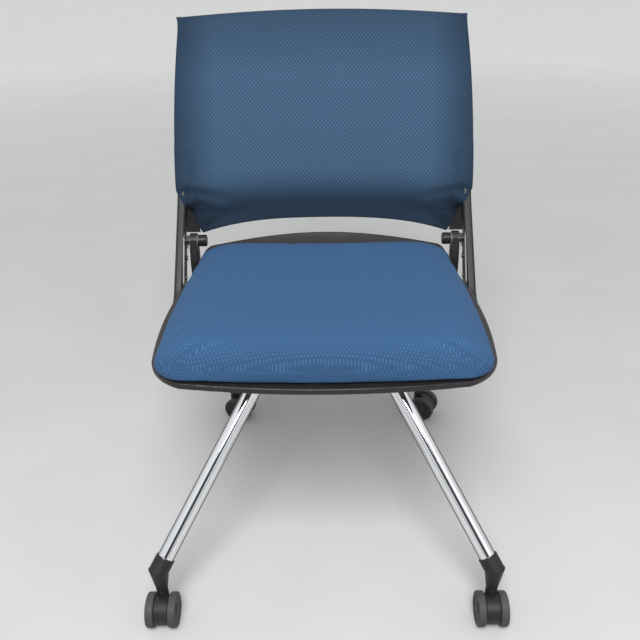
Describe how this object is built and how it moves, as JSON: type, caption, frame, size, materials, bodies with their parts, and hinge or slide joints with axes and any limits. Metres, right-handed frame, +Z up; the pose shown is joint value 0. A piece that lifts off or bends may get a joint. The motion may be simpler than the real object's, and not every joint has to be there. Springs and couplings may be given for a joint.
{
  "type": "nesting chair",
  "caption": "Nesting chair with a fold-up upholstered seat, a knit-sleeved curved back, splayed chromed legs and swivel casters.",
  "frame": {"origin": "on the floor, at the centre of the whole chair's footprint", "axes": "+Z up; the sitter faces -Y; +X to the right seen from the front"},
  "size_m": [0.542, 0.6219, 0.8095],
  "materials": {
    "leg_chrome": "polished",
    "foot_nylon": "fine grain",
    "zinc_steel": "zinc plated",
    "hub_casting": "satin powder coat",
    "frame_paint": "satin powder coat",
    "stop_rubber": "matt",
    "hinge_plastic": "satin",
    "panel_plastic": "satin",
    "foam": "matt",
    "back_fabric": "knitted",
    "shell_plastic": "fine grain",
    "plywood": "raw",
    "seat_fabric": "woven",
    "arm_paint": "satin powder coat",
    "bush_nylon": "satin",
    "caster_plastic": "satin",
    "wheel_plastic": "satin",
    "tread": "matt"
  },
  "bodies": {
    "base": {"front_leg_left": "leg_chrome", "front_leg_right": "leg_chrome", "rear_leg_left": "leg_chrome", "rear_leg_right": "leg_chrome", "front_foot_left": "foot_nylon", "front_foot_right": "foot_nylon", "rear_foot_left": "foot_nylon", "rear_foot_right": "foot_nylon", "caster_stems": "zinc_steel", "leg_hub": "hub_casting", "cross_tube": "frame_paint", "hub_bolts": "zinc_steel", "cross_tube_bolts": "zinc_steel", "seat_stop_buffers": "stop_rubber", "side_member_left": "frame_paint", "hinge_plate_left": "zinc_steel", "hinge_pin_left": "zinc_steel", "hinge_cap_left": "hinge_plastic", "side_member_right": "frame_paint", "hinge_plate_right": "zinc_steel", "hinge_pin_right": "zinc_steel", "hinge_cap_right": "hinge_plastic", "member_end_plugs": "hinge_plastic", "hinge_plate_screws": "zinc_steel", "torsion_springs": "zinc_steel", "back_panel": "panel_plastic", "back_pad": "foam", "back_cover": "back_fabric", "back_panel_screws": "zinc_steel"},
    "seat": {"seat_shell": "shell_plastic", "seat_board": "plywood", "seat_cushion": "seat_fabric", "seat_arm_left": "arm_paint", "seat_arm_right": "arm_paint", "seat_arm_screws": "zinc_steel", "hinge_bushes": "bush_nylon"},
    "front_left_caster": {"front_left_caster_body": "caster_plastic", "front_left_caster_axle": "zinc_steel"},
    "front_left_wheel_a": {"front_left_wheel_a": "wheel_plastic", "front_left_tread_a": "tread"},
    "front_left_wheel_b": {"front_left_wheel_b": "wheel_plastic", "front_left_tread_b": "tread"},
    "front_right_caster": {"front_right_caster_body": "caster_plastic", "front_right_caster_axle": "zinc_steel"},
    "front_right_wheel_a": {"front_right_wheel_a": "wheel_plastic", "front_right_tread_a": "tread"},
    "front_right_wheel_b": {"front_right_wheel_b": "wheel_plastic", "front_right_tread_b": "tread"},
    "rear_left_caster": {"rear_left_caster_body": "caster_plastic", "rear_left_caster_axle": "zinc_steel"},
    "rear_left_wheel_a": {"rear_left_wheel_a": "wheel_plastic", "rear_left_tread_a": "tread"},
    "rear_left_wheel_b": {"rear_left_wheel_b": "wheel_plastic", "rear_left_tread_b": "tread"},
    "rear_right_caster": {"rear_right_caster_body": "caster_plastic", "rear_right_caster_axle": "zinc_steel"},
    "rear_right_wheel_a": {"rear_right_wheel_a": "wheel_plastic", "rear_right_tread_a": "tread"},
    "rear_right_wheel_b": {"rear_right_wheel_b": "wheel_plastic", "rear_right_tread_b": "tread"}
  },
  "joints": [
    {"name": "seat_fold", "type": "hinge", "parent": "base", "child": "seat", "pos_m": [0, 0.1233, 0.46], "axis": [-1, 0, 0], "range_deg": [0, 78], "stiffness_Nm_per_rad": 1, "springref_deg": 137.51},
    {"name": "front_left_swivel", "type": "hinge", "parent": "base", "child": "front_left_caster", "pos_m": [-0.248, -0.2724, 0.026], "axis": [0, 0, 1], "continuous": true},
    {"name": "front_left_roll_a", "type": "hinge", "parent": "front_left_caster", "child": "front_left_wheel_a", "pos_m": [-0.248, -0.2844, 0.026], "axis": [1, 0, 0], "continuous": true},
    {"name": "front_left_roll_b", "type": "hinge", "parent": "front_left_caster", "child": "front_left_wheel_b", "pos_m": [-0.248, -0.2844, 0.026], "axis": [1, 0, 0], "continuous": true},
    {"name": "front_right_swivel", "type": "hinge", "parent": "base", "child": "front_right_caster", "pos_m": [0.248, -0.2724, 0.026], "axis": [0, 0, 1], "continuous": true},
    {"name": "front_right_roll_a", "type": "hinge", "parent": "front_right_caster", "child": "front_right_wheel_a", "pos_m": [0.248, -0.2844, 0.026], "axis": [1, 0, 0], "continuous": true},
    {"name": "front_right_roll_b", "type": "hinge", "parent": "front_right_caster", "child": "front_right_wheel_b", "pos_m": [0.248, -0.2844, 0.026], "axis": [1, 0, 0], "continuous": true},
    {"name": "rear_left_swivel", "type": "hinge", "parent": "base", "child": "rear_left_caster", "pos_m": [-0.196, 0.2553, 0.026], "axis": [0, 0, 1], "continuous": true},
    {"name": "rear_left_roll_a", "type": "hinge", "parent": "rear_left_caster", "child": "rear_left_wheel_a", "pos_m": [-0.18504, 0.25042, 0.026], "axis": [0.4067, 0.9135, 0], "continuous": true},
    {"name": "rear_left_roll_b", "type": "hinge", "parent": "rear_left_caster", "child": "rear_left_wheel_b", "pos_m": [-0.18504, 0.25042, 0.026], "axis": [0.4067, 0.9135, 0], "continuous": true},
    {"name": "rear_right_swivel", "type": "hinge", "parent": "base", "child": "rear_right_caster", "pos_m": [0.196, 0.2553, 0.026], "axis": [0, 0, 1], "continuous": true},
    {"name": "rear_right_roll_a", "type": "hinge", "parent": "rear_right_caster", "child": "rear_right_wheel_a", "pos_m": [0.20696, 0.25042, 0.026], "axis": [0.4067, 0.9135, 0], "continuous": true},
    {"name": "rear_right_roll_b", "type": "hinge", "parent": "rear_right_caster", "child": "rear_right_wheel_b", "pos_m": [0.20696, 0.25042, 0.026], "axis": [0.4067, 0.9135, 0], "continuous": true}
  ]
}
